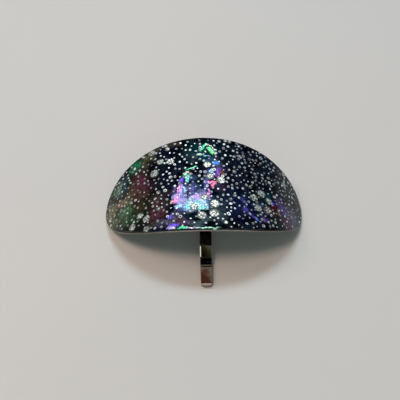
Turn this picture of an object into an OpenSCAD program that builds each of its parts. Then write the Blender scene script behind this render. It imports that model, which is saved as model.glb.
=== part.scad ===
// A ponytail hook: an oval steel plate rolled into an arch, a dark facing bonded on its outer face,
// and a flat steel hook soldered under its middle. It is drawn as it lies on a table, on the two
// ends of the arch and the tip of the hook. Width is along x, the hook's free end points along -y,
// and the table is z = 0.

/* [Plate] */
// Width of the plate across its two ends, over the arch
plate_w = 60; // [54:1:66]
// Depth of the plate at its middle, from its front edge to its rear edge
plate_d = 34.4; // [32:0.2:38]
// Rise of the plate's outer face from its ends to its crown
plate_rise = 15.4; // [14:0.1:17]
// Thickness of the steel sheet
plate_t = 0.6; // [0.5:0.05:1]
// Fullness of the oval: 2 is an ellipse, and more is fuller
oval_power = 2.05; // [2:0.01:2.4]
// Bevel that breaks the cut edge of the sheet
edge_break = 0.08; // [0.04:0.01:0.12]

/* [Facing] */
// Thickness of the facing
facing_t = 0.35; // [0.25:0.05:0.5]
// Margin of bare steel between the facing's rim and the cut edge
facing_margin = 0.15; // [0.1:0.05:0.5]
// Radius that rounds the facing's rim
facing_round = 0.25; // [0.1:0.05:0.25]
// Thickness of the bond under the facing
bond_t = 0.05; // [0.02:0.01:0.08]

/* [Hook] */
// Width of the hook's strip at the bend
hook_w = 3.7; // [3:0.1:4.5]
// Width of the strip at its tip
tip_w = 3.3; // [2.6:0.1:3.3]
// Thickness of the strip
hook_t = 0.9; // [0.7:0.05:1]
// Reach of the tip in front of the plate's middle
hook_reach = 26.2; // [25:0.1:28]
// Length of the foot that is soldered under the plate
foot_l = 9; // [8:0.5:10]
// Slope of the tongue under the plate
tongue_slope = 6; // [4:0.5:8]
// Length of the tongue's straight stretch under the plate
tongue_l = 21; // [20:0.1:22]
// Slope of the tongue in front of that stretch
front_slope = 23; // [20:1:26]
// Length of the front stretch
front_l = 5.7; // [5:0.1:6.5]
// Slope of the short step before the tip
step_slope = 35; // [30:1:38]
// Length of the short step
step_l = 0.9; // [0.6:0.1:1.4]
// Slope of the levelled tip
tip_slope = 8.5; // [6:0.5:10]
// Length of the levelled tip
tip_l = 6.4; // [6:0.1:7]
// Corner radius of the tip, seen from above
tip_round = 1.1; // [0.8:0.1:1.2]

/* [Hidden] */

// How far the foot bites into the plate's underside, so that the soldered joint is one solid
solder_bite = 0.05;
// Number of points round the oval, and the turns between points of the facing's rounded rim and
// between points of the strip's bends
oval_points = 144;
rim_step = 30;
bend_step = 6;
// Centre-line radii of the tongue's bends: under the front edge, at the step, and at the tip
front_bend_r = 12;
step_bend_r = 6;
tip_bend_r = 1;
$fn = 64;

// The plate's outer face is part of a cylinder along y. This is its radius, the half angle that it
// spans, and half its length measured along the arc.
face_r = (plate_w * plate_w / 4 + plate_rise * plate_rise) / (2 * plate_rise);
half_turn = asin(plate_w / 2 / face_r);
half_arc = face_r * half_turn * PI / 180;
under_r = face_r - plate_t;

// The arch stands on the lower corners of its ends, so its axis lies this far below the table.
axis_depth = under_r * cos(half_turn);
under_z = under_r - axis_depth;

// The hook's strip as a path, from the foot's free end to the tip. Each row is one straight stretch
// and the bend after it. A heading of 0 runs to the rear and 180 to the front, and a bend's turn is
// positive where it turns the way the U-bend does, and negative where the tongue gets steeper.
LENGTH = 0;
TURN = 1;
RADIUS = 2;
function path(u_bend_r) = [
    [foot_l, 180 - tongue_slope, u_bend_r],
    [tongue_l, tongue_slope - front_slope, front_bend_r],
    [front_l, front_slope - step_slope, step_bend_r],
    [step_l, step_slope - tip_slope, tip_bend_r],
    [tip_l, 0, 0],
];

// The stations of a path: the ends of each straight stretch and the points along each bend. Each
// is [y, z, heading], counted from the foot's free end.
Y = 0;
Z = 1;
HEADING = 2;
function stations(rows, i = 0, at = [0, 0, 0]) =
    i == len(rows) ? [at] :
    let (row = rows[i], h = at[HEADING], r = row[RADIUS] * sign(row[TURN]))
    let (bend_y = at[Y] + row[LENGTH] * cos(h), bend_z = at[Z] - row[LENGTH] * sin(h))
    let (steps = ceil(abs(row[TURN]) / bend_step))
    let (bend = [
        for (k = [0:steps])
            let (a = h + row[TURN] * k / max(steps, 1))
            [bend_y + r * (sin(a) - sin(h)), bend_z - r * (cos(h) - cos(a)), a]
    ])
    concat([at], [for (k = [0:1:steps - 1]) bend[k]], stations(rows, i + 1, bend[steps]));

function last(list) = list[len(list) - 1];

// With a U-bend of no radius the tip would lie this far above its place, and the U-bend's own fall
// makes that up.
foot_z = under_z + solder_bite - hook_t / 2;
tip_z = hook_t / 2 * cos(tip_slope);
excess_z = foot_z + last(stations(path(0)))[Z] - tip_z;
hook_path = stations(path(excess_z / (1 + cos(tongue_slope))));
foot_y = -hook_reach - last(hook_path)[Y];
u_bend_y = foot_y + foot_l;

// Half the hook's overhang in front of the plate: it centres the whole part on the origin.
centre_y = (hook_reach - plate_d / 2) / 2;

// A point of the oval at turn t, with its outline pulled in by inset, on the cylinder of radius r.
// The oval is cut flat, so its length is measured along the plate's outer face.
function oval_share(c) = sign(c) * pow(abs(c), 2 / oval_power);

function oval_point(t, inset, r) =
    let (along = -(half_arc - inset) * oval_share(cos(t)))
    let (turn = along / face_r * 180 / PI)
    [r * sin(turn), (plate_d / 2 - inset) * oval_share(sin(t)), r * cos(turn)];

// A rolled oval sheet. Each row of its edge profile is [inset of the outline, height over the
// inner face], from the inner face to the outer one.
module rolled_oval(inner_r, profile) {
    n = oval_points;
    top = n * (len(profile) - 1);
    rings = [
        for (row = profile, i = [0:n - 1])
            oval_point((i + 0.5) * 360 / n, row[0], inner_r + row[1])
    ];
    edge = [
        for (k = [0:len(profile) - 2], i = [0:n - 1])
            let (a = k * n + i, b = k * n + (i + 1) % n)
            [a, b, b + n, a + n]
    ];
    inner_face = [for (i = [0:n / 2 - 2]) [n - 1 - i, n - 2 - i, i + 1, i]];
    outer_face = [for (strip = inner_face) [for (i = [3:-1:0]) top + strip[i]]];
    translate([0, 0, -axis_depth])
        polyhedron(concat(rings), concat(edge, inner_face, outer_face));
}

module plate() {
    rolled_oval(under_r, [
        [edge_break, 0],
        [0, edge_break],
        [0, plate_t - edge_break],
        [edge_break, plate_t],
    ]);
}

module facing() {
    rim = [
        for (a = [0:rim_step:90])
            [facing_round * (1 - cos(a)), facing_t - facing_round * (1 - sin(a))]
    ];
    profile = concat([[0, 0]], rim);
    color("midnightblue")
        translate([0, centre_y, 0])
            rolled_oval(face_r + bond_t, [for (row = profile) [row[0] + facing_margin, row[1]]]);
}

// The strip's outline from the side: its path, thickened by half the strip's thickness to each side
module hook_side() {
    sides = [
        for (side = [1, -1])
            [
                for (at = hook_path)
                    [at[Y] + side * hook_t / 2 * sin(at[HEADING]),
                     at[Z] + side * hook_t / 2 * cos(at[HEADING])]
            ]
    ];
    n = len(hook_path);
    polygon(concat(sides[0], [for (i = [n - 1:-1:0]) sides[1][i]]));
}

// The strip's outline from above: it narrows from the U-bend to the tip and has round corners there
module hook_outline() {
    rear = plate_d / 2;
    corner_y = tip_round - hook_reach;
    polygon([
        [-hook_w / 2, rear],
        [hook_w / 2, rear],
        [hook_w / 2, u_bend_y],
        [tip_w / 2, corner_y],
        [-tip_w / 2, corner_y],
        [-hook_w / 2, u_bend_y],
    ]);
    translate([tip_round - tip_w / 2, -hook_reach])
        square([tip_w - 2 * tip_round, tip_round]);
    for (side = [-1, 1])
        translate([side * (tip_w / 2 - tip_round), corner_y])
            circle(tip_round);
}

module hook() {
    intersection() {
        translate([0, foot_y, foot_z])
            rotate([90, 0, 90])
                linear_extrude(hook_w, center = true)
                    hook_side();
        linear_extrude(under_z + plate_t)
            hook_outline();
    }
}

module plate_and_hook() {
    color("silver")
        translate([0, centre_y, 0]) {
            plate();
            hook();
        }
}

plate_and_hook();
facing();
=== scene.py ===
# %% [markdown]
# This lesson dresses a ponytail hook for its picture. The real thing is an oval steel plate rolled into
# an arch, with a dark foil facing that glitters like a night sky, and a flat steel hook soldered under
# its middle. The solids already have the right size and place, so the first step is to load them and
# to keep their box: whatever is modelled here has to stay inside it.

# %% Load the solids
import math
import random

import bpy
from mathutils import Matrix, Vector, noise


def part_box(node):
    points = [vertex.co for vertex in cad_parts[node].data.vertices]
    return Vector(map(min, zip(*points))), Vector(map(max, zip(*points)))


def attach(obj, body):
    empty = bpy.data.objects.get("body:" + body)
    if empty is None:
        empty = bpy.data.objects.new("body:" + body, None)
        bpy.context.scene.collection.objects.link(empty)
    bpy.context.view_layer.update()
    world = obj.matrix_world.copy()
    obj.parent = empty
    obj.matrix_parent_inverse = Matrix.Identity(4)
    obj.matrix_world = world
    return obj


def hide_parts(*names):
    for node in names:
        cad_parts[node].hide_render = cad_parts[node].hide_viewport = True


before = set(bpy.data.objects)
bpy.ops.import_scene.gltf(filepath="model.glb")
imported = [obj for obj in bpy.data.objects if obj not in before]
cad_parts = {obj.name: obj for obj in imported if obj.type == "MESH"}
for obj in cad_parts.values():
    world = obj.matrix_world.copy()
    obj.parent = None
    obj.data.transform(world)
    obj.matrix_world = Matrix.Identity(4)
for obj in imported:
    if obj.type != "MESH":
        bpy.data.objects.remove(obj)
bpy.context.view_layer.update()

# %% [markdown]
# Blender works in metres and a hair clip is easier to think about in millimetres, so every size below
# is written as a number of millimetres. Two sizes of the arch are enough to know its radius. Where the
# arch stands is read from the solids, so that the new skin lands exactly on them.

# %% Sizes of the arch
MM = 0.001
PLATE_W = 60 * MM
PLATE_D = 34.4 * MM
PLATE_RISE = 15.4 * MM
PLATE_T = 0.6 * MM
FACE_R = (PLATE_W**2 / 4 + PLATE_RISE**2) / (2 * PLATE_RISE)
HALF_ARC = FACE_R * math.asin(PLATE_W / 2 / FACE_R)
OVAL_POWER = 2.05

facing_low, facing_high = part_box("facing")
plate_low, plate_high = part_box("plate_and_hook")
CENTRE_Y = (facing_low.y + facing_high.y) / 2
CROWN_Z = plate_high.z
AXIS_Z = CROWN_Z - FACE_R
print(f"radius {FACE_R / MM:.2f} mm, half the arc {HALF_ARC / MM:.2f} mm, crown at {CROWN_Z / MM:.2f} mm")

# %% [markdown]
# The camera comes early, because every later choice is judged through it. It looks down on the clip
# from the front, about as steeply as someone who leans over a table, and it is turned and rolled by a
# degree or two, as a hand-held camera is. A place and three angles say more to a reader than a matrix
# of nine numbers, so the matrix is put together from them.

# %% Camera
CAMERA_AIM = Vector((-1.2, 7.83, 2.57)) * MM
CAMERA_DISTANCE = 200 * MM
CAMERA_ELEVATION = math.radians(52.5)
CAMERA_TURN = math.radians(-2.5)
CAMERA_ROLL = math.radians(1.35)
CAMERA_LENS = 58.1
NEAREST_SEEN = 10 * MM

for shown in bpy.context.selected_objects:
    shown.select_set(False)
pose = (
    Matrix.Rotation(CAMERA_TURN, 4, "Z")
    @ Matrix.Rotation(math.radians(90) - CAMERA_ELEVATION, 4, "X")
    @ Matrix.Rotation(CAMERA_ROLL, 4, "Z")
)
bpy.ops.object.camera_add()
camera = bpy.context.object
camera.name = "camera"
camera.matrix_world = Matrix.Translation(CAMERA_AIM) @ pose @ Matrix.Translation((0, 0, CAMERA_DISTANCE))
camera.data.lens = CAMERA_LENS
camera.data.clip_start = NEAREST_SEEN
bpy.context.scene.camera = camera
bpy.context.scene.view_settings.view_transform = "Standard"
print("camera at", [round(c / MM, 1) for c in camera.matrix_world.translation], "mm")

# %% [markdown]
# Shader maths soon turns into a tangle of small nodes. Here a socket is wrapped in a class that
# overloads the arithmetic operators, so that 1 - mask reads as it does on paper and still adds its Math
# node. Every other kind of node comes from one method, which takes its settings first and then the
# values or wires of its sockets.

# %% Wires and finishes
class Wire:
    """One output of a node. Sums of wires add Math nodes to the same finish."""

    def __init__(self, finish, socket):
        self.finish = finish
        self.socket = socket

    def maths(self, operation, *values):
        return self.finish.add("Math", {"operation": operation}, dict(enumerate(values)))

    def out(self, name):
        return Wire(self.finish, self.socket.node.outputs[name])

    def __add__(self, other):
        return self.maths("ADD", self, other)

    def __sub__(self, other):
        return self.maths("SUBTRACT", self, other)

    def __rsub__(self, other):
        return self.maths("SUBTRACT", other, self)

    def __mul__(self, other):
        return self.maths("MULTIPLY", self, other)

    def __truediv__(self, other):
        return self.maths("DIVIDE", self, other)

    __radd__ = __add__
    __rmul__ = __mul__


class Finish:
    """A material or a world, made node by node."""

    def __init__(self, owner):
        owner.use_nodes = True
        self.owner = owner
        self.tree = owner.node_tree
        self.tree.nodes.clear()

    def pick(self, sockets, key):
        usable = [socket for socket in sockets if socket.enabled]
        if isinstance(key, int):
            return usable[key]
        return next(socket for socket in usable if socket.name == key)

    def add(self, kind, settings=None, inputs=None, output=0):
        node = self.tree.nodes.new("ShaderNode" + kind)
        for name, value in (settings or {}).items():
            if name == "stops":
                self.set_stops(node.color_ramp, value)
            else:
                setattr(node, name, value)
        for key, value in (inputs or {}).items():
            socket = self.pick(node.inputs, key)
            if isinstance(value, Wire):
                self.tree.links.new(value.socket, socket)
            else:
                socket.default_value = value
        if not node.outputs:
            return node
        return Wire(self, self.pick(node.outputs, output))

    def set_stops(self, ramp, stops):
        while len(ramp.elements) < len(stops):
            ramp.elements.new(1)
        for element, (position, colour) in zip(ramp.elements, stops):
            element.position = position
            element.color = colour

    def mix(self, factor, first, second):
        return self.add("Mix", {"data_type": "RGBA"}, {"Factor": factor, "A": first, "B": second})

    def fade(self, value, start, end):
        """1 up to start, 0 from end on, and a smooth fall between them."""
        span = {"Value": value, "From Min": start, "From Max": end, "To Min": 1.0, "To Max": 0.0}
        return self.add("MapRange", {"interpolation_type": "SMOOTHSTEP", "clamp": False}, span)

    def noise(self, place, scale, detail=2.0, output="Fac"):
        return self.add("TexNoise", None, {"Vector": place, "Scale": scale, "Detail": detail}, output)

    def here(self):
        """The place on the piece in metres, which stays on it when the piece moves."""
        return self.add("TexCoord", output="Object")

    def end_with(self, sockets):
        """Ends a material with one Principled shader."""
        skin = self.add("BsdfPrincipled", None, sockets)
        self.add("OutputMaterial", None, {"Surface": skin})
        print(self.owner.name, "has", len(self.tree.nodes), "nodes")


print("helpers for the finishes:", Wire.__name__, "and", Finish.__name__)

# %% [markdown]
# A paint chart gives a colour as the screen shows it, from 0 to 255 a channel. A shader works in linear
# light, where a middle grey is only a fifth of white, so every colour is turned into that first.

# %% Colours as on a paint chart
def paint(red, green, blue):
    """A colour from a paint chart in the linear values of a shader."""
    def linear(channel):
        share = channel / 255
        return share / 12.92 if share <= 0.04045 else ((share + 0.055) / 1.055) ** 2.4

    return (linear(red), linear(green), linear(blue), 1.0)


print("a middle grey of 128 is", [round(c, 3) for c in paint(128, 128, 128)])

# %% [markdown]
# The clip lies on a plain pale table. One large plane is enough, but a single flat colour would look
# like paper, so a slow noise warms and cools it a little. A photographer would let the table run into
# the backdrop in one sweep. Here it fades into the backdrop's colour with the distance from the clip,
# so no dark horizon crosses the low views.

# %% Table
TABLE_SIDE = 4.0
TABLE_WARM = paint(221, 214, 208)
TABLE_COOL = paint(211, 209, 204)
BACKDROP = paint(203, 202, 197)
SWEEP_FROM = 0.18
SWEEP_TO = 0.7
DRIFT_SCALE = 9.0

bpy.ops.mesh.primitive_plane_add(size=TABLE_SIDE)
table = bpy.context.object
table.name = "table"
laminate = Finish(bpy.data.materials.new("pale_laminate"))
place = laminate.here()
drift = laminate.noise(place, DRIFT_SCALE, detail=3.0)
away = laminate.add("VectorMath", {"operation": "LENGTH"}, {0: place}, "Value")
near = laminate.fade(away, SWEEP_FROM, SWEEP_TO)
colour = laminate.mix(drift, TABLE_WARM, TABLE_COOL)
skin = laminate.add("BsdfPrincipled", None, {"Base Color": colour, "Roughness": 0.55})
sweep = laminate.add("Emission", None, {"Color": BACKDROP})
surface = laminate.add("MixShader", None, {0: near, 1: sweep, 2: skin})
laminate.add("OutputMaterial", None, {"Surface": surface})
table.data.materials.append(laminate.owner)
print("table", [round(side, 2) for side in table.dimensions], "m")

# %% [markdown]
# The shadow in the photograph has steps, and each step is a lamp. A cool window behind the clip throws
# the widest one forward, and there only the warm lamps still reach the table, which makes it pink. The
# strong one hangs overhead, a little to the front and the left. The weak one is far to the left and
# throws the soft wedge beside the hook. Where both are hidden the dark core is left. Each lamp's
# direction is the line from a point of the shadow's outline to the point that throws it, and its size
# decides how soft that outline is. The front lamp is low and weak. It only reaches in under the arch,
# where the core would be too black without it.
#
# A glossy arch would show every one of these lamps as a hard-edged patch from one side or another, so
# they are hidden from reflections. The last one isn't there to light anything. It stands for a white
# card at the left that is only mirrored, and it puts the glint on the hook's left edge.

# %% Lamps
LAMP_DISTANCE = 0.9


def lamp(name, direction, width, height, watts, colour):
    """A soft rectangular lamp that hangs in a direction from the clip and faces it."""
    towards = Vector(direction).normalized()
    bpy.ops.object.light_add(type="AREA")
    made = bpy.context.object
    made.name = name
    turn = towards.to_track_quat("Z", "Y").to_matrix().to_4x4()
    middle = Vector((0, CENTRE_Y, 0))
    made.matrix_world = Matrix.Translation(middle + towards * LAMP_DISTANCE) @ turn
    made.data.shape = "RECTANGLE"
    made.data.size = width
    made.data.size_y = height
    made.data.energy = watts
    made.data.color = colour[:3]
    made.visible_camera = False
    made.visible_glossy = False
    return made


COOL_DAYLIGHT = paint(214, 238, 255)
WARM_LIGHT = paint(255, 229, 216)
GREENISH_LIGHT = paint(232, 255, 240)
CARD_WHITE = paint(255, 246, 238)
# name, direction from the clip, width, height, watts, colour
lamp("ceiling_lamp", (-0.34, -0.1, 1), 0.24, 0.3, 2.65, WARM_LIGHT)
lamp("side_lamp", (-0.95, 0.32, 1), 0.3, 0.3, 1.3, WARM_LIGHT)
lamp("window_lamp", (0, 0.58, 1), 0.4, 0.14, 3.9, COOL_DAYLIGHT)
lamp("front_lamp", (0, -1, 0.45), 0.9, 0.5, 0.88, GREENISH_LIGHT)
white_card = lamp("white_card", (-0.965, 0.218, 0.14), 0.34, 0.24, 0.75, CARD_WHITE)
white_card.visible_glossy = True
white_card.visible_diffuse = False

# %% [markdown]
# The world stands for the rest of the room. The hook is a row of small flat mirrors that are tilted to
# the front and the rear, so each of its bands shows one height in the room. The ramp follows that arc
# from the front horizon, over the top, to the rear one: a pale wall, a black stretch round the camera,
# the olive edge of the ceiling, its bright middle, a red-brown beam and a dark wall down to the pale
# floor. The camera itself sees a pale backdrop, and matt surfaces get one even tone.

# %% Room
GLARE = 1.6
BRIGHTEST = tuple(GLARE * channel for channel in paint(255, 240, 224))
# share of the arc, colour
ROOM_ARC = [
    (0.00, paint(166, 166, 162)),
    (0.07, paint(166, 168, 164)),
    (0.16, paint(244, 248, 248)),
    (0.23, paint(224, 228, 228)),
    (0.27, paint(4, 4, 3)),
    (0.36, paint(4, 4, 3)),
    (0.395, paint(44, 46, 36)),
    (0.412, paint(68, 69, 53)),
    (0.4245, paint(78, 79, 60)),
    (0.4267, paint(100, 99, 76)),
    (0.45, paint(226, 214, 190)),
    (0.50, paint(222, 198, 188)),
    (0.545, BRIGHTEST),
    (0.552, paint(116, 76, 66)),
    (0.568, paint(118, 71, 59)),
    (0.5715, paint(142, 96, 80)),
    (0.5735, paint(166, 140, 124)),
    (0.577, paint(204, 192, 178)),
    (0.60, paint(150, 112, 96)),
    (0.64, paint(98, 56, 44)),
    (0.66, paint(6, 8, 12)),
    (0.90, paint(10, 14, 18)),
    (0.95, paint(130, 132, 130)),
    (1.00, paint(170, 170, 166)),
]
AMBIENT = paint(96, 108, 110)

room = Finish(bpy.data.worlds.new("room"))
bpy.context.scene.world = room.owner
across = room.add("SeparateXYZ", None, {"Vector": room.add("TexCoord", output="Generated")}, "Y")
up = across.out("Z")
arc = up.maths("ARCTAN2", up, across * -1) / math.pi
mirrored = room.add("ValToRGB", {"stops": ROOM_ARC}, {"Fac": arc})
seen = room.add("LightPath", output="Is Camera Ray")
glow = room.mix(seen.out("Is Diffuse Ray"), mirrored, AMBIENT)
glow = room.mix(seen, glow, BACKDROP)
room.add("OutputWorld", None, {"Surface": room.add("Background", None, {"Color": glow})})
print("the room's arc has", len(ROOM_ARC), "stops")

# %% [markdown]
# The plate and the facing are cut flat and then rolled, and they are modelled in the same order. A
# circle of points becomes an oval, Grid Fill spans it with a net of square faces that bends well, and
# each row of the edge profile is one extrude and one resize. A table of polar points would give faces
# that fan out from the middle, and those crease when the sheet is rolled.

# %% An oval sheet, still flat
OVAL_POINTS = 256
GRID_SPAN = 64
SMOOTH_BELOW = math.radians(30)


def lone(piece):
    """Selects this piece alone and makes it the active one."""
    bpy.ops.object.select_all(action="DESELECT")
    piece.select_set(True)
    bpy.context.view_layer.objects.active = piece


def start_editing():
    bpy.ops.object.mode_set(mode="EDIT")
    bpy.ops.mesh.select_all(action="SELECT")


def stop_editing():
    bpy.ops.mesh.select_all(action="SELECT")
    bpy.ops.mesh.normals_make_consistent(inside=False)
    bpy.ops.object.mode_set(mode="OBJECT")


def fuller(share):
    """Moves a share of the half width or depth outwards, as the oval is fuller than an ellipse."""
    return math.copysign(abs(share) ** (2 / OVAL_POWER), share)


def stack(rings):
    """Extrudes what is selected through rings of (half width, half depth, height), from below."""
    for (width, depth, height), (next_width, next_depth, next_height) in zip(rings, rings[1:]):
        bpy.ops.mesh.extrude_region_move(TRANSFORM_OT_translate={"value": (0, 0, next_height - height)})
        shrink = (next_width / width, next_depth / depth, 1)
        bpy.ops.transform.resize(value=shrink, center_override=(0, 0, 0))


def oval_sheet(name, profile):
    """A flat oval whose edge follows a profile of (inset of the outline, height), from below."""
    bpy.ops.mesh.primitive_circle_add(vertices=OVAL_POINTS, radius=1, fill_type="NOTHING")
    sheet = bpy.context.object
    sheet.name = name
    rings = [(HALF_ARC - inset, PLATE_D / 2 - inset, height) for inset, height in profile]
    half_w, half_d, height = rings[0]
    for point in sheet.data.vertices:
        point.co = (half_w * fuller(point.co.x), half_d * fuller(point.co.y), height)
    start_editing()
    bpy.ops.mesh.fill_grid(span=GRID_SPAN)
    stack(rings)
    stop_editing()
    return sheet


def smooth(piece, angle=SMOOTH_BELOW):
    lone(piece)
    bpy.ops.object.shade_smooth_by_angle(angle=angle)


print("the grid has", GRID_SPAN, "spans over", OVAL_POINTS, "points")

# %% [markdown]
# Rolling is Blender's Simple Deform modifier, set to Bend. It bends round the Z axis of the object, so
# the flat sheet is first stood on its edge, bent, and laid down again. The bend's angle belongs to the
# length of the piece, so the same few lines roll the plate, the facing and every glittering speck that
# is laid out flat on it, all to one radius.

# %% Roll a flat piece
def apply_place(piece):
    lone(piece)
    bpy.ops.object.transform_apply(location=True, rotation=True, scale=True)


def roll_up(piece):
    """Rolls a flat piece on the arch. Its height is counted from the plate's outer face."""
    piece.rotation_euler.x = math.radians(90)
    apply_place(piece)
    bend = piece.modifiers.new("roll", "SIMPLE_DEFORM")
    bend.deform_method = "BEND"
    bend.deform_axis = "Z"
    bend.angle = piece.dimensions.x / FACE_R
    bpy.ops.object.modifier_apply(modifier=bend.name)
    piece.rotation_euler.x = math.radians(-90)
    piece.location = (0, CENTRE_Y, CROWN_Z)
    apply_place(piece)
    return piece


print("the axis of the arch is at", round(AXIS_Z / MM, 2), "mm")

# %% [markdown]
# The plate is 0.6 mm of nickel-plated steel. Sheet metal never has a knife edge, so its profile
# starts and ends with a small bevel, and that bevel catches the light as the thin silver line round
# the dark face. The faces of its back get the second finish while they still all point down.

# %% Plate
EDGE_BREAK = 0.08 * MM
LEVEL = 0.99
# inset of the outline, height
SHEET_EDGE = [
    (EDGE_BREAK, -PLATE_T),
    (0, EDGE_BREAK - PLATE_T),
    (0, -EDGE_BREAK),
    (EDGE_BREAK, 0),
]


def report(piece):
    sides = [round(side / MM, 2) for side in piece.dimensions]
    print(piece.name, "has", len(piece.data.polygons), "faces and measures", sides, "mm")


plate = oval_sheet("arched_plate", SHEET_EDGE)
for face in plate.data.polygons:
    face.material_index = int(face.normal.z < -LEVEL)
roll_up(plate)
smooth(plate)
report(plate)

# %% [markdown]
# The facing is a thin lens of resin over foil, bonded on the plate just inside its edge. Its rim is a
# quarter circle, so that it can hold the long bright glint along the front, which the chart of its
# colours also paints in. It stays flat for now, because its colours are laid on before it is rolled, as
# on the real sheet. Its top is cut finer, so that there are points enough to hold them.

# %% Facing, still flat
FACING_T = 0.35 * MM
FACING_MARGIN = 0.15 * MM
FACING_ROUND = 0.25 * MM
BOND_T = 0.05 * MM
FACE_TOP = BOND_T + FACING_T
RIM_STEP = 15
TOP_CUTS = 2

rim = []
for degrees in range(0, 91, RIM_STEP):
    inset = FACING_MARGIN + FACING_ROUND * (1 - math.cos(math.radians(degrees)))
    drop = FACING_ROUND * (1 - math.sin(math.radians(degrees)))
    rim.append((inset, FACE_TOP - drop))
facing = oval_sheet("night_facing", [(FACING_MARGIN, BOND_T)] + rim)


def edit_only(piece, kind, wanted):
    """Opens a piece for editing. Only those of its faces or edges that are wanted are selected."""
    lone(piece)
    bpy.ops.object.mode_set(mode="EDIT")
    bpy.ops.mesh.select_mode(type=kind)
    bpy.ops.mesh.select_all(action="DESELECT")
    bpy.ops.object.mode_set(mode="OBJECT")
    for part in piece.data.polygons if kind == "FACE" else piece.data.edges:
        part.select = wanted(part)
    bpy.ops.object.mode_set(mode="EDIT")


def on_top(face):
    return face.normal.z > LEVEL and face.center.z > BOND_T + FACING_T / 2


edit_only(facing, "FACE", on_top)
bpy.ops.mesh.subdivide(number_cuts=TOP_CUTS)
stop_editing()
report(facing)

# %% [markdown]
# The colours of the facing are those of a thin film of oil, with the window's reflection, the rim's glint
# and a highlight at the back painted in among them. All of them belong to a place, and not to a dye.
# They are charted on the flat sheet, in millimetres along the arc and across it, from a small
# palette. There are two ways to lay such a chart on a surface. Soft clouds suit a colour stored on the
# points of a dense mesh, because Blender blends it from point to point. Crisp shards need the shader,
# which works at every pixel, and a shader holds only a few dozen of them. So the clouds go on the
# points here and the shards follow with the material. Some clouds throw light back more strongly than
# paint can. A stored colour has a fourth channel, so that one keeps how much its point glows.

# %% A palette of film colours and painted reflections
PALETTE = {
    "night": (2, 5, 8),
    "midnight": (9, 10, 26),
    "ink": (6, 26, 34),
    "navy": (8, 18, 54),
    "deep_teal": (4, 50, 54),
    "petrol": (8, 62, 84),
    "sea_blue": (22, 96, 136),
    "steel_blue": (54, 94, 132),
    "slate": (40, 62, 70),
    "sage": (84, 124, 94),
    "seafoam": (86, 138, 124),
    "leaf": (76, 112, 72),
    "fern": (66, 90, 60),
    "emerald": (38, 112, 76),
    "pine": (38, 66, 44),
    "moss": (26, 42, 26),
    "olive": (76, 86, 44),
    "earth": (30, 32, 20),
    "dark_olive": (60, 54, 38),
    "lichen": (94, 100, 76),
    "sand": (116, 110, 80),
    "bronze": (86, 74, 46),
    "rust": (56, 30, 22),
    "terracotta": (132, 72, 62),
    "wine": (86, 14, 28),
    "berry": (84, 48, 56),
    "raspberry": (100, 50, 72),
    "brick": (76, 54, 50),
    "plum": (54, 26, 50),
    "heather": (88, 82, 108),
    "dusk": (86, 66, 126),
    "storm": (42, 56, 70),
    "smoke": (66, 86, 90),
    "umber": (66, 58, 48),
    "mulberry": (60, 44, 74),
    "hyacinth": (98, 100, 142),
    "haze_blue": (120, 134, 206),
    "violet": (80, 86, 146),
    "purple": (122, 72, 180),
    "indigo": (104, 84, 204),
    "amethyst": (66, 58, 136),
    "cobalt": (66, 88, 230),
    "cornflower": (98, 120, 248),
    "azure": (72, 134, 218),
    "ice": (158, 216, 248),
    "frost_blue": (176, 204, 236),
    "aqua": (130, 224, 224),
    "pale_aqua": (190, 234, 230),
    "mint": (96, 242, 184),
    "spring": (135, 255, 172),
    "pale_mint": (178, 240, 206),
    "frost": (232, 255, 232),
    "pearl": (230, 232, 250),
    "lilac": (200, 172, 254),
    "orchid": (236, 152, 236),
    "pink": (254, 140, 224),
    "rose": (253, 128, 172),
    "peach": (255, 218, 200),
    "gold": (116, 100, 54),
}
FILM_AND_REFLECTION = {name: Vector(paint(*mixed)) for name, mixed in PALETTE.items()}
print(len(FILM_AND_REFLECTION), "film colours")

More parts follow.
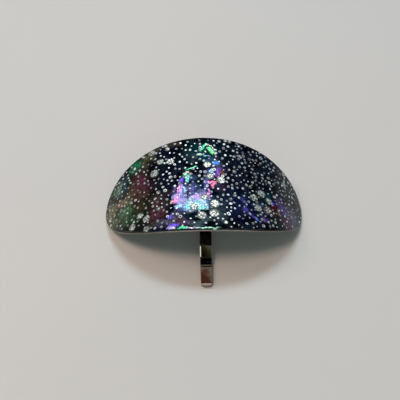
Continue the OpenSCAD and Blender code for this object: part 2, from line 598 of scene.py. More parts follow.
# %% Clouds
# colour, along, across, half length, half width, turn in degrees
CLOUDS = [
    ("earth", -23, -4, 12, 17, 0),
    ("deep_teal", -1.5, 11.4, 6.5, 4.6, 0),
    ("ink", 6, 9, 4, 3.5, 0),
    ("umber", -16.4, 13.4, 3.2, 2.4, 30),
    ("umber", -9.4, 15, 2.4, 1.5, 0),
    ("hyacinth", 4.3, 4.8, 2.6, 3.4, 0),
    ("mulberry", 4.4, -1.6, 2.4, 3, 0),
    ("storm", 4, -9, 3.4, 5, 0),
    ("smoke", 3.4, -12, 2.4, 2.2, 0),
    ("heather", -8.6, -11.8, 3.2, 2.4, 0),
    ("umber", -19.6, 9.2, 4.4, 3, 30),
    ("midnight", 8, 3, 6, 8, 0),
    ("navy", 10, -7.5, 7, 7, 0),
    ("deep_teal", 18.5, -2.4, 3, 2.8, 0),
    ("navy", 14.2, -8.2, 3.2, 3.2, 0),
    ("sea_blue", 15.3, -6.2, 2.6, 1.2, 0),
    ("wine", 20.5, -5.7, 1.6, 1.7, 0),
    ("rust", 20.6, -8.8, 2.4, 2, 0),
    ("moss", 21.4, -11.5, 3, 2.4, 0),
    ("dusk", 24.2, -4.7, 3, 3.4, 0),
    ("heather", 28.5, -7, 3.6, 5.5, 0),
    ("heather", 18.4, -7.6, 1.1, 1.8, 20),
    ("raspberry", 25.6, -9.2, 1.8, 3.4, 0),
    ("olive", -16.5, 12.4, 4.8, 1.4, 40),
    ("emerald", -22, 10.8, 3.4, 2.2, 38),
    ("sage", -29, 5.3, 2.2, 3.4, 0),
    ("slate", -26, 6.3, 1.2, 5.5, 0),
    ("slate", -27.2, 5.2, 0.9, 4.4, 0),
    ("bronze", -22.8, 1.2, 3, 4, 0),
    ("berry", -19.6, 2.6, 4.4, 4.6, 0),
    ("raspberry", -19.3, 4.6, 1.8, 2, 0),
    ("plum", -16.3, 0.8, 1.1, 3.6, 0),
    ("brick", -19, -1.6, 4, 2.4, 0),
    ("dark_olive", -19.6, -5.8, 3.6, 2.4, 0),
    ("brick", -13.2, -4.8, 3, 3, 0),
    ("berry", -14.2, -9, 3, 4, 0),
    ("sand", -32, -2, 3.2, 5, 0),
    ("lichen", -30.5, -7, 2.8, 3.2, 0),
    ("sand", -26.6, -0.6, 4, 2, 0),
    ("terracotta", -27.2, -0.9, 1.4, 1.4, 0),
    ("leaf", -25.2, -4.8, 3.8, 3.4, 0),
    ("pine", -22, -9, 2.6, 2.8, 0),
    ("fern", -25, -8.8, 2.8, 3, 0),
    ("umber", -15.2, -13, 2.4, 1.6, 0),
    ("heather", -11.2, -13.6, 3.4, 1.8, 0),
    ("heather", -5.8, -14, 2.6, 1.4, 0),
    ("berry", -7.6, -13.2, 1.6, 0.8, 0),
    ("ink", -4.4, -11.8, 3.4, 1.2, 0),
    ("smoke", -1.6, -14.4, 4.4, 1.4, 0),
    ("steel_blue", -3.8, 1.4, 2.4, 1.5, 0),
    ("petrol", -2.1, -2.2, 0.9, 2.4, 0),
    ("smoke", -3, 8.8, 1.6, 2, 0),
    ("petrol", -0.3, 8.6, 1.7, 1.6, 0),
    ("steel_blue", 1.9, 8.2, 1.3, 1.6, 0),
    ("emerald", 0.1, 12, 1.7, 1.8, 0),
]
# The same columns. These clouds also glow, a painted glow: those in the middle of the facing are the
# window's reflection, painted in.
PAINTED_GLOWS = [
    ("violet", -4.4, -3.4, 2.6, 3.6, 0),
    ("haze_blue", -6.9, -4, 1.8, 4, -8),
    ("dusk", -9.5, -2.6, 1.2, 2, 0),
    ("haze_blue", -5.8, -8, 3.4, 2.8, 0),
    ("haze_blue", -1.2, -7.4, 3.4, 3.8, 0),
    ("hyacinth", -0.6, -4.4, 1.6, 1.5, 0),
    ("lilac", -7.6, -6.6, 1.8, 2.2, 0),
    ("frost_blue", -3, -8.8, 3.4, 1.9, 0),
    ("frost_blue", -4.4, -6.6, 1.7, 1.5, 0),
    ("ice", -1.2, -7.6, 2.2, 1.7, 0),
    ("lilac", -3, -5.8, 1.8, 1.1, 20),
    ("mulberry", -5.2, -3.8, 0.9, 1.4, 0),
    ("seafoam", -5.4, 2.8, 1.7, 2, 0),
    ("amethyst", 11.4, -6.6, 0.8, 1.8, 8),
    ("amethyst", 11.1, -9.3, 1.1, 1.4, 0),
    ("amethyst", 13.2, -11.2, 2.2, 0.8, -20),
    ("azure", 14.7, -11.8, 0.9, 0.4, -15),
    ("dusk", 17.5, -11, 1.2, 1.6, 30),
]
CLOUD_CORE = 0.2
CLOUD_EDGE = 1.15
CLOUD_RAGGED = 1.6
CLOUD_CREASES = 0.33
FINER = 2.7
NIGHT_CREASES = 0.22
print(len(CLOUDS), "clouds and", len(PAINTED_GLOWS), "that glow")


# %% Lay the clouds on the points
def ragged(along, across):
    """A place pushed to and fro by two sizes of noise, so that a cloud has no drawn outline."""
    coarse = Vector((along, across, 0)) * CLOUD_CREASES
    push = noise.noise_vector(coarse) + noise.noise_vector(coarse * FINER) / 2
    return along + CLOUD_RAGGED * push.x, across + CLOUD_RAGGED * push.y


def cover(away, core, edge):
    """1 up to the core, 0 from the edge on, and a smooth fall between them."""
    share = min(max((edge - away) / (edge - core), 0), 1)
    return share * share * (3 - 2 * share)


def film_and_reflection_colour(along, across):
    """The colour of a place in millimetres, painted reflections included, with its glow as the fourth
    channel.
    """
    drift = noise.noise_vector(Vector((along, across, 0)) * NIGHT_CREASES)
    seen = FILM_AND_REFLECTION["night"].lerp(FILM_AND_REFLECTION["ink"], max(drift.x, 0))
    seen = seen.lerp(FILM_AND_REFLECTION["midnight"], max(drift.y, 0))
    seen = seen.lerp(FILM_AND_REFLECTION["navy"], max(drift.z, 0) / 2)
    glowing = 0.0
    for row in CLOUDS + PAINTED_GLOWS:
        name, mid_along, mid_across, half_length, half_width, turn = row
        local = Vector((along - mid_along, across - mid_across))
        local.rotate(Matrix.Rotation(-math.radians(turn), 2))
        away = math.hypot(local.x / half_length, local.y / half_width)
        if away < CLOUD_EDGE:
            share = cover(away, CLOUD_CORE, CLOUD_EDGE)
            seen = seen.lerp(FILM_AND_REFLECTION[name], share)
            glowing = max(glowing, share) if row in PAINTED_GLOWS else glowing
    seen[3] = glowing
    return seen


clouds = facing.data.attributes.new("clouds", "FLOAT_COLOR", "POINT")
for point, stored in zip(facing.data.vertices, clouds.data):
    stored.color = film_and_reflection_colour(*ragged(point.co.x / MM, point.co.y / MM))
print("painted", len(clouds.data), "points")
roll_up(facing)
smooth(facing)
report(facing)

# %% [markdown]
# The hook is one strip of flat wire. By hand it would be bent round pins, one bend after another, and
# here it is the same: the end face is extruded along each straight and spun round each pin. The radius
# of the U-bend is the one that brings the tip down on the table.

# %% Bend the hook
HOOK_W = 3.7 * MM
TIP_W = 3.3 * MM
HOOK_T = 0.9 * MM
TIP_ROUND = 1.1 * MM
SOLDER_BITE = 0.05 * MM
TONGUE_SLOPE = math.radians(6)
FRONT_SLOPE = math.radians(23)
STEP_SLOPE = math.radians(35)
TIP_SLOPE = math.radians(8.5)
BEND_STEP = math.radians(3)


def hook_path(u_bend_r):
    """Each row is a straight's length, the turn after it and that turn's radius."""
    return [
        (9 * MM, math.pi - TONGUE_SLOPE, u_bend_r),
        (21 * MM, TONGUE_SLOPE - FRONT_SLOPE, 12 * MM),
        (5.7 * MM, FRONT_SLOPE - STEP_SLOPE, 6 * MM),
        (0.9 * MM, STEP_SLOPE - TIP_SLOPE, 1 * MM),
        (6.4 * MM, 0, 0),
    ]


def ahead(heading):
    """The way the strip runs. Nought is to the rear, and a quarter turn is straight down."""
    return Vector((0, math.cos(heading), -math.sin(heading)))


def pin_side(heading):
    """The side of the strip on which the pin of a positive turn stands."""
    return Vector((0, -math.sin(heading), -math.cos(heading)))


def end_of(rows):
    """Where a path ends that starts at nought and heads to the rear."""
    place, heading = Vector((0, 0, 0)), 0.0
    for length, turn, radius in rows:
        place = place + ahead(heading) * length
        pin = pin_side(heading) * math.copysign(radius, turn)
        heading += turn
        place = place + pin - pin_side(heading) * math.copysign(radius, turn)
    return place


under_z = CROWN_Z - PLATE_T
foot_z = under_z + SOLDER_BITE - HOOK_T / 2
tip_z = HOOK_T / 2 * math.cos(TIP_SLOPE)
U_BEND_R = (foot_z + end_of(hook_path(0)).z - tip_z) / (1 + math.cos(TONGUE_SLOPE))
HOOK_PATH = hook_path(U_BEND_R)
foot = Vector((0, plate_low.y - end_of(HOOK_PATH).y, foot_z))
print(f"U-bend radius {U_BEND_R / MM:.3f} mm, foot starts at y {foot.y / MM:.2f} mm")


# %% Extrude and spin the strip
def narrower(place_y):
    """The strip's width in front of the U-bend, which shrinks evenly towards the tip."""
    back = foot.y + HOOK_PATH[0][0]
    share = (back - place_y) / (back - plate_low.y - TIP_ROUND)
    return HOOK_W + (TIP_W - HOOK_W) * min(max(share, 0), 1)


bpy.ops.object.select_all(action="DESELECT")
bpy.ops.mesh.primitive_plane_add(size=1)
hook = bpy.context.object
hook.name = "hook_strip"
start_editing()
bpy.ops.transform.resize(value=(HOOK_W, HOOK_T, 1))
bpy.ops.transform.rotate(value=math.radians(90), orient_axis="X", center_override=(0, 0, 0))
bpy.ops.transform.translate(value=foot)
place, heading, width = foot.copy(), 0.0, HOOK_W
for length, turn, radius in HOOK_PATH:
    step = ahead(heading) * length
    bpy.ops.mesh.extrude_region_move(TRANSFORM_OT_translate={"value": step})
    place += step
    new_width = narrower(place.y) if heading > math.pi / 2 else HOOK_W
    bpy.ops.transform.resize(value=(new_width / width, 1, 1), center_override=place)
    width = new_width
    if turn:
        pin = place + pin_side(heading) * math.copysign(radius, turn)
        steps = math.ceil(abs(turn) / BEND_STEP)
        bpy.ops.mesh.spin(steps=steps, angle=turn, center=pin, axis=(1, 0, 0))
        heading += turn
        place = pin - pin_side(heading) * math.copysign(radius, turn)
stop_editing()
hook_low = min(point.co.y for point in hook.data.vertices)
print(f"tip at y {hook_low / MM:.2f} mm and the solid's at {plate_low.y / MM:.2f} mm")

# %% [markdown]
# Seen from above the tip has round corners, and no wire keeps a sharp edge after tumbling and plating.
# The two short edges at the tip get a large bevel in edit mode. On the left of the stretch before the
# step the press has left a wide shoulder, and it is one bevel of one edge. A Bevel modifier then breaks
# every sharp edge a little, and those slim bevels carry the bright lines along the strip.

# %% Round the tip and break the edges
STRIP_BREAK = 0.1 * MM
BREAK_SEGMENTS = 3
TIP_SEGMENTS = 8
SHOULDER = 0.27 * MM
SHARP_ABOVE = math.radians(50)
STRIP_SMOOTH_BELOW = math.radians(35)
ALIGNED = 0.9

stretch_start = foot + end_of(HOOK_PATH[:2])
stretch_middle = stretch_start + ahead(math.pi - FRONT_SLOPE) * HOOK_PATH[2][0] / 2


def run_of(edge):
    """The middle of an edge of the strip and the way that it runs."""
    first, second = (hook.data.vertices[number].co for number in edge.vertices)
    return (first + second) / 2, (second - first).normalized()


def at_tip_corner(edge):
    middle, way = run_of(edge)
    return middle.y < hook_low + HOOK_T / 2 and abs(way.z) > ALIGNED


def at_shoulder(edge):
    middle, way = run_of(edge)
    beside = abs(middle.y - stretch_middle.y) < HOOK_T and abs(way.y) > ALIGNED
    return beside and middle.x < 0 and middle.z > stretch_middle.z


edit_only(hook, "EDGE", at_tip_corner)
bpy.ops.mesh.bevel(offset=TIP_ROUND, segments=TIP_SEGMENTS, affect="EDGES")
stop_editing()
edit_only(hook, "EDGE", at_shoulder)
print("shoulder edges:", hook.data.total_edge_sel)
bpy.ops.mesh.bevel(offset=SHOULDER, segments=1, affect="EDGES")
bpy.ops.mesh.mark_sharp()
stop_editing()
lone(hook)
bevel = hook.modifiers.new("edges", "BEVEL")
bevel.width = STRIP_BREAK
bevel.segments = BREAK_SEGMENTS
bevel.limit_method = "ANGLE"
bevel.angle_limit = SHARP_ABOVE
bpy.ops.object.modifier_apply(modifier=bevel.name)
smooth(hook, STRIP_SMOOTH_BELOW)
report(hook)

# %% [markdown]
# Now the glitter. On the facing lie hundreds of silver drops, half of them with a dimple in the middle,
# and larger flakes of crinkled foil. Painted dots would go dull from the side, so each drop is a real
# little dome. One drop and one dimpled drop are modelled once, with a point attribute that says where
# the silver is, and are then copied.

# %% Two kinds of drop
DROP_SIDES = 8
DROP_RINGS = [(1, 0), (0.68, 0.12), (0.6, 0.34), (0.25, 0.46)]
DIMPLE_RINGS = [(1, 0), (0.86, 0.14), (0.76, 0.36), (0.54, 0.3), (0.32, 0.06)]
DOME_R = 0.64
CREST_FROM = 0.4
CREST_TO = 0.8


def silver_at(piece, shine):
    """Stores how silvery each point is, from its place."""
    attribute = piece.data.attributes.new("silver", "FLOAT", "POINT")
    for point, stored in zip(piece.data.vertices, attribute.data):
        stored.value = shine(point.co)


def turned(name, rings, sides):
    """A little turned solid, from rings of (radius, height)."""
    bpy.ops.mesh.primitive_circle_add(vertices=sides, radius=rings[0][0], fill_type="NGON")
    piece = bpy.context.object
    piece.name = name
    start_editing()
    stack([(radius, radius, height) for radius, height in rings])
    stop_editing()
    return piece


drop = turned("drop", DROP_RINGS, DROP_SIDES)
silver_at(drop, lambda point: float(point.xy.length < DOME_R))
dimple = turned("dimple", DIMPLE_RINGS, DROP_SIDES)
silver_at(dimple, lambda point: float(CREST_FROM < point.xy.length < CREST_TO))
print("a drop has", len(drop.data.polygons), "faces and a dimpled one", len(dimple.data.polygons))

# %% [markdown]
# The large flakes and the mid-sized ones sit where the photograph has them, so they are listed as a
# place along the arc, a place across it and a diameter, all in millimetres. The drops only have the right
# density: each one is thrown at random and kept if it is clear of its neighbours, and a fixed seed throws
# the same night sky every time.

# %% Where the glitter lies
# along, across, diameter
FLAKES = [
    (-16.3, 13.8, 2.6), (-13.3, 9.4, 2.3), (-10.1, 8.6, 2.4), (-15.2, 5.4, 2.9), (0.8, 6.2, 2.4),
    (1.5, 1.7, 2.4), (4.6, 0.4, 2.6), (-0.3, -5.9, 2.4), (-3.3, -9.4, 2.4), (2.5, -8.3, 2.8),
    (-1.2, -12.4, 2.7), (2.2, -11.6, 2.8), (14.3, -4.3, 2.7), (17.0, -2.1, 2.8), (19.4, -4.0, 2.4),
    (15.4, -7.7, 2.6), (18.7, -7.4, 2.4), (-19.6, -8.7, 2.5), (-17.4, -10.5, 2.5), (-22.2, -11.7, 2.6),
    (-17.3, -14.0, 2.2), (-31.8, -4.4, 1.8), (27.0, 9.8, 2.0), (26.4, 5.6, 2.0), (-11.1, 13.9, 1.6),
    (-11.5, 15.2, 1.2), (10.8, 14.7, 1.3), (7.9, 15.9, 1.3), (4.7, 15.7, 1.2), (11.0, 10.4, 1.3),
    (-19.0, 13.4, 1.6), (8.8, 4.2, 1.4), (15.4, 4.9, 1.3), (-13.8, -2.1, 1.4), (-13.7, -8.1, 1.5),
    (-8.1, -5.2, 0.9), (5.3, -14.6, 1.3), (13.4, -0.6, 1.3), (8.4, -4.8, 1.2),
]
SEED = 2011
THROWS = 3200
RIM_CLEAR = 0.7
DENSE_FROM = 5.0
WIDE_SPACING = 1.24
DENSE_SPACING = 1.08
FLAKE_CLEAR = 0.25

half_arc_mm = HALF_ARC / MM
half_depth_mm = PLATE_D / 2 / MM


def on_face(along, across):
    """Whether a place on the flat facing is clear of its rim."""
    share_w = along / (half_arc_mm - RIM_CLEAR)
    share_d = across / (half_depth_mm - RIM_CLEAR)
    return share_w**2 + share_d**2 < 1


def clear_of(place, others, reach):
    return all(math.dist(place, other) > reach for other in others)


chance = random.Random(SEED)
drops = []
for _ in range(THROWS):
    spot = (chance.uniform(-half_arc_mm, half_arc_mm), chance.uniform(-half_depth_mm, half_depth_mm))
    spacing = DENSE_SPACING if spot[0] > DENSE_FROM else WIDE_SPACING
    if not on_face(*spot) or not clear_of(spot, drops, spacing):
        continue
    if all(math.dist(spot, flake[:2]) > flake[2] / 2 + FLAKE_CLEAR for flake in FLAKES):
        drops.append(spot)
print(len(drops), "drops and", len(FLAKES), "flakes")

# %% Lay the drops out and roll them on
FACE_SINK = 0.02 * MM
DROP_R = (0.3, 0.52)
GLEAM = (0.4, 1.6)
LARGE_SHARE = 0.12
LARGE_R = (0.54, 0.72)
DIMPLE_SHARE = 0.5
SQUEEZE = (0.82, 1.22)
DROP_HEIGHT = (0.7, 1.0)
DROP_SMOOTH_BELOW = math.radians(60)


def lay(model, along, across, radius, height, turn, gleam=1.0, squeeze=1.0):
    """One copy of a flat model, with its own mesh, at a place on the unrolled facing."""
    copy = bpy.data.objects.new(model.name, model.data.copy())
    bpy.context.scene.collection.objects.link(copy)
    copy.location = (along * MM, across * MM, FACE_TOP - FACE_SINK)
    copy.scale = (radius * squeeze * MM, radius / squeeze * MM, height * MM)
    copy.rotation_euler.z = turn
    for stored in copy.data.attributes["silver"].data:
        stored.value *= gleam
    return copy


def joined(name, copies):
    whole = copies[0]
    lone(whole)
    for copy in copies[1:]:
        copy.select_set(True)
    bpy.ops.object.join()
    whole.name = name
    apply_place(whole)
    return whole


laid = {drop.name: [], dimple.name: []}
for along, across in drops:
    model = dimple if chance.random() < DIMPLE_SHARE else drop
    radius = chance.uniform(*(LARGE_R if chance.random() < LARGE_SHARE else DROP_R))
    height = radius * chance.uniform(*DROP_HEIGHT)
    turn = chance.uniform(0, math.tau)
    gleam = min(chance.uniform(*GLEAM), 1)
    squeeze = chance.uniform(*SQUEEZE)
    laid[model.name].append(lay(model, along, across, radius, height, turn, gleam, squeeze))
silver_drops = roll_up(joined("silver_drops", laid["drop"]))
dimpled_drops = roll_up(joined("dimpled_drops", laid["dimple"]))
for model in (drop, dimple):
    bpy.data.objects.remove(model)
for piece in (silver_drops, dimpled_drops):
    smooth(piece, DROP_SMOOTH_BELOW)
    report(piece)

# %% [markdown]
# A foil flake is crumpled: from close by it is a crowd of small bright scales with darker creases between
# them. One scale is a flattened pebble. Random turns and sizes of it, crowded on a thin round disc, make
# a flake, and the grey disc shows through as the creases, with their shade painted into its colour.

# %% Flakes of crinkled foil
SCALE_SHAPE = (1, 0.8, 0.4)
SCALE_ROUGH = 0.16
SCALE_SEED = 5
SCALE_SPACING = 0.56
SCALE_R = (0.36, 0.54)
SCALE_THROWS = 260
SCALE_TILT = 0.4
FLOOR_HEIGHT = 0.05
FLOOR_SHARE = 0.96
FLOOR_SIDES = 12

bpy.ops.mesh.primitive_ico_sphere_add(subdivisions=1, radius=1)
scale = bpy.context.object
scale.name = "scale"
start_editing()
bpy.ops.transform.resize(value=SCALE_SHAPE, center_override=(0, 0, 0))
bpy.ops.transform.vertex_random(offset=SCALE_ROUGH, seed=SCALE_SEED)
stop_editing()
silver_at(scale, lambda point: 1.0)
floor = turned("floor", [(1, 0), (FLOOR_SHARE, 1)], FLOOR_SIDES)
silver_at(floor, lambda point: 0.0)

scales = []
for along, across, diameter in FLAKES:
    scales.append(lay(floor, along, across, diameter / 2, FLOOR_HEIGHT, 0))
    reach = diameter / 2 - SCALE_R[0]
    spots = []
    for _ in range(SCALE_THROWS):
        turn = chance.uniform(0, math.tau)
        away = reach * math.sqrt(chance.random())
        spot = (along + away * math.cos(turn), across + away * math.sin(turn))
        if clear_of(spot, spots, SCALE_SPACING):
            spots.append(spot)
    for spot in spots:
        radius = chance.uniform(*SCALE_R)
        copy = lay(scale, *spot, radius, radius, chance.uniform(0, math.tau))
        copy.rotation_euler.x = chance.uniform(-SCALE_TILT, SCALE_TILT)
        copy.rotation_euler.y = chance.uniform(-SCALE_TILT, SCALE_TILT)
        scales.append(copy)
foil_flakes = roll_up(joined("foil_flakes", scales))
for model in (scale, floor):
    bpy.data.objects.remove(model)
report(foil_flakes)

# %% [markdown]
# Now the shards of the facing, in its material. Most of them are painted light: the window's reflection
# in the middle, the glint along the front rim and a highlight at the back. The shader works on the curved
# sheet, so the place on the chart is found back from the Object coordinates: the turn round the arch's
# axis, times its radius, is the way along the arc. A noise pushes the place about, so that the straight
# bars look torn.

# %% Unrolled places as wires
TORN_REACH = 1.7
TORN_SCALE = 0.8
MIDDLE_GREY = (0.5, 0.5, 0.5)


def unrolled(finish):
    """The place on the unrolled facing in millimetres, from the Object coordinates."""
    place = finish.add("SeparateXYZ", None, {"Vector": finish.here()})
    turn = place.maths("ARCTAN2", place, place.out("Z") - AXIS_Z)
    across = (place.out("Y") - CENTRE_Y) / MM
    return finish.add("CombineXYZ", None, {"X": turn * (FACE_R / MM), "Y": across})


night = Finish(bpy.data.materials.new("night_foil"))
flat = unrolled(night)
push = night.noise(flat, TORN_SCALE, detail=4.0, output="Color")
centred = night.add("VectorMath", {"operation": "SUBTRACT"}, {0: push, 1: MIDDLE_GREY})
spread = {0: centred, 1: (TORN_REACH, TORN_REACH, 0), 2: flat}
torn = night.add("VectorMath", {"operation": "MULTIPLY_ADD"}, spread)
print("the facing is charted from", round(-half_arc_mm, 1), "to", round(half_arc_mm, 1), "mm")

# %% Shards
# colour, along, across, half length, half width, turn in degrees
# Painted light: the rows 9.6 mm and more across are a highlight at the back, those at -14.8 mm and less
# are the glint along the front rim, and most rows between them near the middle of the arc are the
# window's reflection.
SHARDS_AND_GLINTS = [
    ("mint", -0.3, 13, 1.8, 0.4, 56),
    ("spring", 2.1, 11.6, 1.6, 0.6, -54),
    ("frost", 2.5, 12.9, 1.8, 0.16, -52),
    ("frost", 0.9, 14.2, 0.5, 0.45, 0),
    ("pale_mint", -1.2, 10.1, 1, 0.24, 5),
    ("ice", 0.7, 9.6, 0.9, 0.2, -10),
    ("mint", -3.7, 5.2, 1.5, 0.24, 18),
    ("azure", 3.4, 7, 1, 0.9, -30),
    ("violet", 1.4, 3.3, 0.8, 1.2, 0),
    ("ice", 2.2, 3.9, 0.38, 0.8, 0),
    ("purple", 3.8, 3.2, 1.9, 0.75, 75),
    ("rose", 3.7, 0.6, 1.4, 0.3, 68),
    ("violet", 0.2, -1.2, 0.8, 2.6, -5),
    ("indigo", -6.8, 0.8, 0.7, 1.3, -12),
    ("aqua", -5, 1.2, 0.5, 1.4, -8),
    ("pale_mint", -5.7, 3.1, 0.5, 0.5, 0),
    ("peach", -5, 3.7, 0.42, 0.42, 0),
    ("lilac", -7.2, -2.4, 0.6, 1.7, -6),
    ("pink", -7.8, -2.4, 0.22, 1.7, -8),
    ("ice", -6, -2.7, 0.38, 1.1, 0),
    ("ice", -7.6, -8.6, 1.2, 0.45, 0),
    ("pink", -8.4, -5.9, 1.6, 0.5, 58),
    ("aqua", -4.4, -9.4, 1.8, 0.6, 0),
    ("ice", -1.6, -8, 1.2, 1.2, 0),
    ("pale_aqua", -3.4, -8.4, 1.3, 0.7, 0),
    ("lilac", -0.7, -5.8, 1.9, 1.1, 12),
    ("aqua", -0.9, -9.9, 1.7, 0.6, 0),
    ("orchid", 0.9, -4.3, 0.32, 1.3, -6),
    ("rose", 2.4, -1.3, 0.45, 1.1, -34),
    ("rose", 2.1, -0.5, 1.2, 0.36, 4),
    ("orchid", 1.2, -0.7, 0.5, 0.4, 0),
    ("indigo", -9.1, -14.8, 1.6, 0.5, 0),
    ("lilac", -9.9, -15.7, 1.3, 0.5, -8),
    ("mint", -6.5, -16.1, 1.5, 0.36, -4),
    ("pearl", -3.9, -16.5, 1.9, 0.3, -2),
    ("pale_mint", 0.6, -16.7, 2.8, 0.22, 0),
    ("indigo", -10.1, -11.8, 0.7, 0.5, 20),
    ("cornflower", 14.4, -11.8, 0.6, 0.25, -30),
    ("cobalt", 20.4, -4, 1.2, 0.45, -30),
    ("gold", 22.8, -6.9, 0.45, 1.3, 20),
    ("peach", -9.7, -6.6, 0.34, 0.4, 0),
    ("terracotta", 5.1, 3.3, 0.45, 0.9, 60),
]
SHARD_CORE = 0.1
SHARD_EDGE = 1.6
print(len(SHARDS_AND_GLINTS), "shards")

# %% [markdown]
# Every shard is a rounded bar. The place is turned and scaled into the bar's own frame and squared, and
# its length then grows fast outside the bar, with corners that a circle doesn't have. That length fades
# the shard's colour in over what lies below, and the largest of these fades is how much the foil glows.

# %% Lay the shards in the shader
colour = night.add("Attribute", {"attribute_name": "clouds"}, output="Color")
painted_glow = colour.out("Alpha")
for name, along, across, half_length, half_width, turn in SHARDS_AND_GLINTS:
    frame_of_shard = {
        "Vector": torn,
        "Location": (along, across, 0),
        "Rotation": (0, 0, math.radians(turn)),
        "Scale": (half_length, half_width, 1),
    }
    seen = night.add("Mapping", {"vector_type": "TEXTURE"}, frame_of_shard)
    squared = night.add("VectorMath", {"operation": "MULTIPLY"}, {0: seen, 1: seen})
    away = night.add("VectorMath", {"operation": "LENGTH"}, {0: squared}, "Value")
    bright = night.fade(away, SHARD_CORE, SHARD_EDGE)
    colour = night.mix(bright, colour, FILM_AND_REFLECTION[name])
    # Painted glow: the strongest shard sets how much the foil glows.
    painted_glow = bright.maths("MAXIMUM", painted_glow, bright)
print("night_foil has", len(night.tree.nodes), "nodes so far")

# %% [markdown]
# Flat patches of colour would look like paper cut-outs. On the real foil they are broken up twice: by
# fine crumpling, whose shade is painted here as darker patches, and by an embossed net of lines. A line
# is a crest of a sine wave. It darkens what is bright and shows as a faint blue thread where the foil is
# dark. The shards and the glowing clouds also shine a little by themselves, a painted glow for the window
# that a film throws back. The clear coat is the resin, and its reflection is kept alone on top by
# turning the foil's own one down.

# %% Crumples and the net of lines
MOTTLE_SCALE = 1.5
MOTTLE_FADE = (0.42, 0.6)
MOTTLE_DEPTH = 0.55
UNEVEN_SCALE = 0.35
STREWN_FADE = (0.4, 0.62)
LINE_PITCH = 0.66
CROSS_PITCH = 0.9
CROSS_SHARE = 0.3
LINE_DEPTH = 0.35
NET_GLOW = paint(38, 50, 70)
EARTH_TO = -19.0
BLUE_FROM = -8.0
FILM_GAIN = 1.35


def scaled(finish, tone, factor):
    return finish.add("VectorMath", {"operation": "SCALE"}, {0: tone, "Scale": factor})


def wave(position, pitch):
    """Thin crests a pitch apart, from 0 to 1."""
    swing = position.maths("SINE", position * (math.tau / pitch)) * 0.5 + 0.5
    return swing * swing * swing


pick_apart = night.add("SeparateXYZ", None, {"Vector": flat})
uneven = night.noise(flat, UNEVEN_SCALE, detail=3.0)
strewn = 1 - night.fade(uneven, *STREWN_FADE)
along_lines = wave(pick_apart, LINE_PITCH)
cross_lines = wave(pick_apart.out("Y"), CROSS_PITCH)
net = along_lines * (1 - CROSS_SHARE) + cross_lines * CROSS_SHARE
# Painted shade: a noise darkens the colour in patches, as the foil's crumpling would shade it.
crumple_shade = night.fade(night.noise(flat, MOTTLE_SCALE, detail=3.0), *MOTTLE_FADE) * MOTTLE_DEPTH
broken = scaled(night, colour, (1 - crumple_shade) * (1 - along_lines * LINE_DEPTH) * FILM_GAIN)
bluish = 1 - night.fade(pick_apart, EARTH_TO, BLUE_FROM)
threads = scaled(night, NET_GLOW[:3], net * strewn * bluish)
glow = night.add("VectorMath", {"operation": "ADD"}, {0: broken, 1: threads})
print("lines every", LINE_PITCH, "mm")

# %% Finish the night foil
BUMP_HEIGHT = 0.3 * MM
BUMP_STRENGTH = 0.12
SWELL_SCALE = 0.45
NET_RELIEF = 0.04
FOIL_ROUGH = 0.3
UNEVEN_ROUGH = 0.1
FLASH_STRENGTH = 0.6

waves = night.noise(flat, SWELL_SCALE) + net * NET_RELIEF
bump = night.add("Bump", None, {"Strength": BUMP_STRENGTH, "Distance": BUMP_HEIGHT, "Height": waves})
foil = {
    "Base Color": glow,
    "Metallic": 0.0,
    "Roughness": FOIL_ROUGH + uneven * UNEVEN_ROUGH,
    "Specular IOR Level": 0.02,
    "Normal": bump,
    "Coat Weight": 0.5,
    "Coat Roughness": 0.03,
    # Painted glow: the shards and glowing clouds shine by themselves, as the window's reflection.
    "Emission Color": scaled(night, broken, painted_glow),
    "Emission Strength": FLASH_STRENGTH,
}
night.end_with(foil)

# %% [markdown]
# A drop is silver on its dome, and its foot is painted dark as the shadow round the drop; a dimpled
# drop's hollow gets the same dark. The attribute from the drop's modelling says which is which. In the
# middle of the facing the drops throw the window back too, so they shine a little by themselves there,
# a painted glow like that of the shards round them.

# %% Silver drops
SILVER = paint(240, 252, 255)
DULL_SILVER = paint(170, 178, 184)
PAINTED_SHADOW = paint(8, 9, 18)
SHINE_MIDDLE = -2.0
SHINE_CORE = 5.0
SHINE_EDGE = 15.0
SHINE_STRENGTH = 0.75
PATCH_SCALE = 500.0
PATCH_FADE = (0.4, 0.6)


def window_shine(finish):
    """1 in the middle of the facing and 0 towards its ends."""
    along = finish.add("SeparateXYZ", None, {"Vector": unrolled(finish)})
    away = along.maths("ABSOLUTE", along - SHINE_MIDDLE)
    return finish.fade(away, SHINE_CORE, SHINE_EDGE)


silver = Finish(bpy.data.materials.new("silver_resin"))
shine = silver.add("Attribute", {"attribute_name": "silver"}, output="Fac")
patchy = silver.noise(silver.here(), PATCH_SCALE, detail=1.0)
tone = silver.mix(silver.fade(patchy, *PATCH_FADE), DULL_SILVER, SILVER)
# Painted shadow: the foot of each drop is dark.
tone = silver.mix(shine, PAINTED_SHADOW, tone)
domed = {
    "Base Color": tone,
    "Metallic": 0.2,
    "Roughness": 0.2,
    "Emission Color": scaled(silver, tone, window_shine(silver)),
    "Emission Strength": SHINE_STRENGTH,
}
silver.end_with(domed)

# %% [markdown]
# Crinkled foil is a patchwork of small flat cells, and each of them meets the light its own way. A
# Voronoi texture is such a patchwork. Its cell colour paints every cell one tone between dim and bright,
# as painted highlight and shade, and its distance to the nearest border draws the creases in painted
# shade, as grey as the disc below. In the middle of the facing the foil also glows a little, a painted
# reflection of the window like that of the drops.

# %% Crinkled foil
FOIL_PAINTED_HIGHLIGHT = paint(246, 253, 250)
FOIL_PAINTED_DIM = paint(180, 188, 184)
FOIL_SHINE = 1.1
CREASE_PAINTED_SHADE = paint(92, 98, 94)
CELL = 0.6 * MM
CREASE_FADE = (0.035, 0.0875)

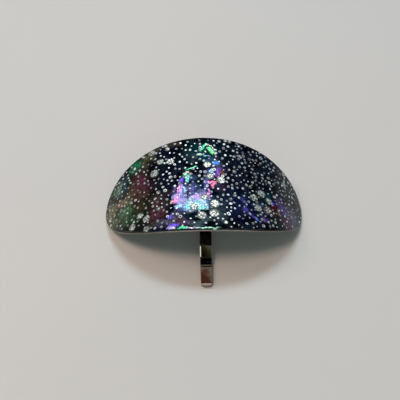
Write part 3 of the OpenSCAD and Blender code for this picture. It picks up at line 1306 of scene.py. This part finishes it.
crinkled = Finish(bpy.data.materials.new("crinkled_foil"))
cells = {"Vector": crinkled.here(), "Scale": 1 / CELL}
to_crease = crinkled.add("TexVoronoi", {"feature": "DISTANCE_TO_EDGE"}, cells, "Distance")
outside_crease_shade = 1 - crinkled.fade(to_crease, *CREASE_FADE)
varied = crinkled.add("TexVoronoi", {"feature": "F1"}, cells, "Color")
# Painted highlight and shade: each cell gets one tone between dim and bright.
tone = crinkled.mix(crinkled.add("SeparateXYZ", None, {"Vector": varied}), FOIL_PAINTED_DIM, FOIL_PAINTED_HIGHLIGHT)
shine = crinkled.add("Attribute", {"attribute_name": "silver"}, output="Fac")
# Painted shade: the creases, and the disc below them, take a grey tone.
tone = crinkled.mix(shine * outside_crease_shade, CREASE_PAINTED_SHADE, tone)
folded = {
    "Base Color": tone,
    "Metallic": 0.15,
    "Roughness": 0.2,
    "Emission Color": scaled(crinkled, tone, window_shine(crinkled)),
    "Emission Strength": FOIL_SHINE,
}
crinkled.end_with(folded)

# %% [markdown]
# The steel is plated with black nickel: a dark mirror with a fine grain along the strip and a few
# slanted scratches. No rolled strip is quite flat, and a mirror shows that at once, so a very shallow
# bump bends the reflections a little. It is only a hundredth of a millimetre deep.

# %% Black nickel
NICKEL_LIGHT = paint(148, 146, 138)
NICKEL_DARK = paint(132, 130, 122)
SCRATCH_SLANT = math.radians(40)
GRAIN_SCALE = (900.0, 60.0, 900.0)
SCRATCH_SCALE = (300.0, 9000.0, 300.0)
SCRATCH_FADE = (0.66, 0.74)
DENT_PITCH = 1.8 * MM
DENT_DEPTH = 0.011 * MM
MIRROR_ROUGH = 0.015
GRAIN_ROUGH = 0.03
SCRATCH_ROUGH = 0.3

nickel = Finish(bpy.data.materials.new("black_nickel"))
place = nickel.here()
stretched = nickel.add("Mapping", None, {"Vector": place, "Scale": GRAIN_SCALE})
grain = nickel.noise(stretched, scale=1.0, detail=3.0)
tone = nickel.mix(grain, NICKEL_LIGHT, NICKEL_DARK)
slant = {"Vector": place, "Rotation": (0, 0, SCRATCH_SLANT), "Scale": SCRATCH_SCALE}
slanted = nickel.add("Mapping", None, slant)
scratched = 1 - nickel.fade(nickel.noise(slanted, scale=1.0), *SCRATCH_FADE)
dents = nickel.noise(place, 1 / DENT_PITCH)
rolled = nickel.add("Bump", None, {"Strength": 1.0, "Distance": DENT_DEPTH, "Height": dents})
roughness = MIRROR_ROUGH + grain * GRAIN_ROUGH + scratched * SCRATCH_ROUGH
nickel.end_with({"Base Color": tone, "Metallic": 1.0, "Roughness": roughness, "Normal": rolled})

# %% [markdown]
# The plate's back is near-black. The hook mirrors it, and that is why the strip is black where it
# comes out from under the plate.

# %% Near-black back
BACK_BLACK = paint(16, 16, 15)
BACK_BLACK_WORN = paint(30, 30, 28)
WEAR_SCALE = 260.0
BACK_ROUGH = 0.35
WORN_ROUGH = 0.15

back_finish = Finish(bpy.data.materials.new("near_black_back"))
worn = back_finish.noise(back_finish.here(), WEAR_SCALE, detail=4.0)
tone = back_finish.mix(worn, BACK_BLACK, BACK_BLACK_WORN)
back_finish.end_with({"Base Color": tone, "Metallic": 0.0, "Roughness": BACK_ROUGH + worn * WORN_ROUGH})

# %% [markdown]
# Last, every piece is tied to the frame: it rides on the part's only body, and where it stands for a
# solid that solid is hidden. The table also lists the slot that its finish belongs to, which nothing
# here uses.

# %% Dress the solids
DRESSING = [
    (plate, (nickel, back_finish), "polished_steel", "plate_and_hook"),
    (hook, (nickel,), "polished_steel", "plate_and_hook"),
    (facing, (night,), "iridescent_facing", "facing"),
    (silver_drops, (silver,), "iridescent_facing", None),
    (dimpled_drops, (silver,), "iridescent_facing", None),
    (foil_flakes, (crinkled,), "iridescent_facing", None),
]
for piece, finishes, slot, node in DRESSING:
    for finish in finishes:
        piece.data.materials.append(finish.owner)
    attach(piece, "root")
    if node:
        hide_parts(node)
    print(piece.name, "wears", [finish.owner.name for finish in finishes])
